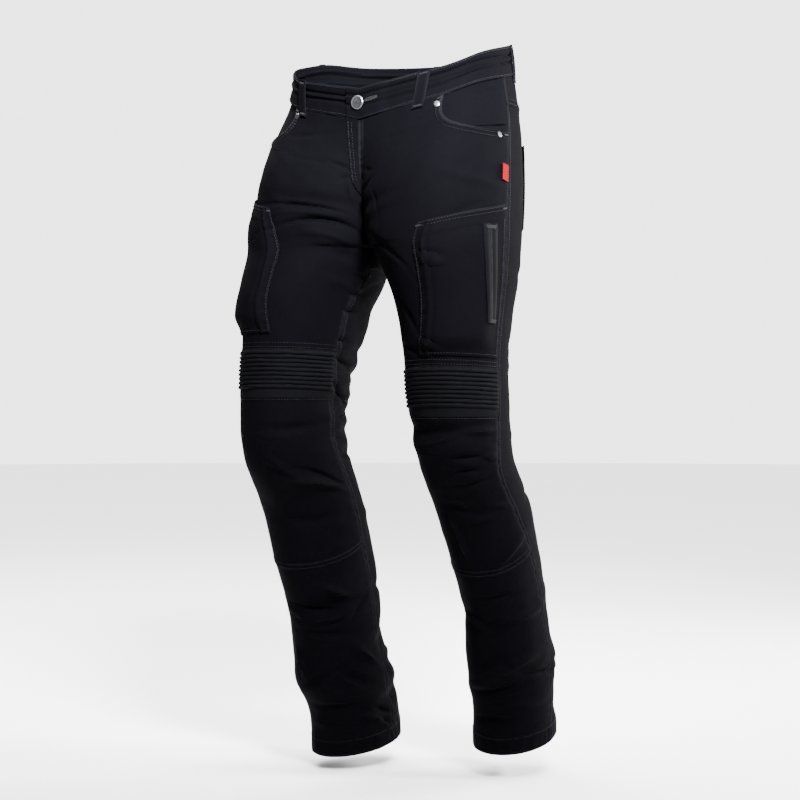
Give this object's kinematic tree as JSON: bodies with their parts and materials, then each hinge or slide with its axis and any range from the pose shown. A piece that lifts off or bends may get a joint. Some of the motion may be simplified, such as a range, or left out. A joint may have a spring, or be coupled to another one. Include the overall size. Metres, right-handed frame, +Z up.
{
  "type": "motorcycle trousers",
  "caption": "Black stretch denim motorcycle trousers in worn form, with accordion ribs over the knees, protector panels, thigh cargo pockets and a buttoned waistband",
  "frame": {"origin": "middle of the waist, level with the top of the waistband at the side seams, where the wearer holds the trousers up", "axes": "+Z up along the body, -Y the way the wearer faces, +X the wearer's left"},
  "size_m": [0.4096, 0.3974, 1.0517],
  "materials": {
    "denim": "black stretch denim twill, overdyed, tone-on-tone topstitching",
    "stretch_rib": "black elastic rib panel, matt",
    "zip_tape": "black woven zip tape with a covered coil",
    "nickel": "nickel-plated button and rivets, worn satin",
    "red_label": "red woven tab, blank"
  },
  "bodies": {
    "root": {"waistband": "denim", "coin_pocket": "denim", "fly_lap": "denim", "belt_loop_left_front": "denim", "belt_loop_left_back": "denim", "belt_loop_centre_back": "denim", "belt_loop_right_back": "denim", "belt_loop_right_front": "denim", "front_panel_left": "denim", "hip_facing_left": "denim", "knee_panel_left": "denim", "shin_panel_left": "denim", "yoke_left": "denim", "back_panel_left": "denim", "back_pocket_left": "denim", "cargo_pocket_left": "denim", "front_panel_right": "denim", "hip_facing_right": "denim", "knee_panel_right": "denim", "shin_panel_right": "denim", "yoke_right": "denim", "back_panel_right": "denim", "back_pocket_right": "denim", "cargo_pocket_right": "denim", "knee_rib_left": "stretch_rib", "knee_rib_right": "stretch_rib", "cargo_zip_left": "zip_tape", "cargo_zip_right": "zip_tape", "waist_button": "nickel", "rivet_left_mouth": "nickel", "rivet_left_side": "nickel", "rivet_right_mouth": "nickel", "side_label": "red_label"}
  },
  "joints": []
}
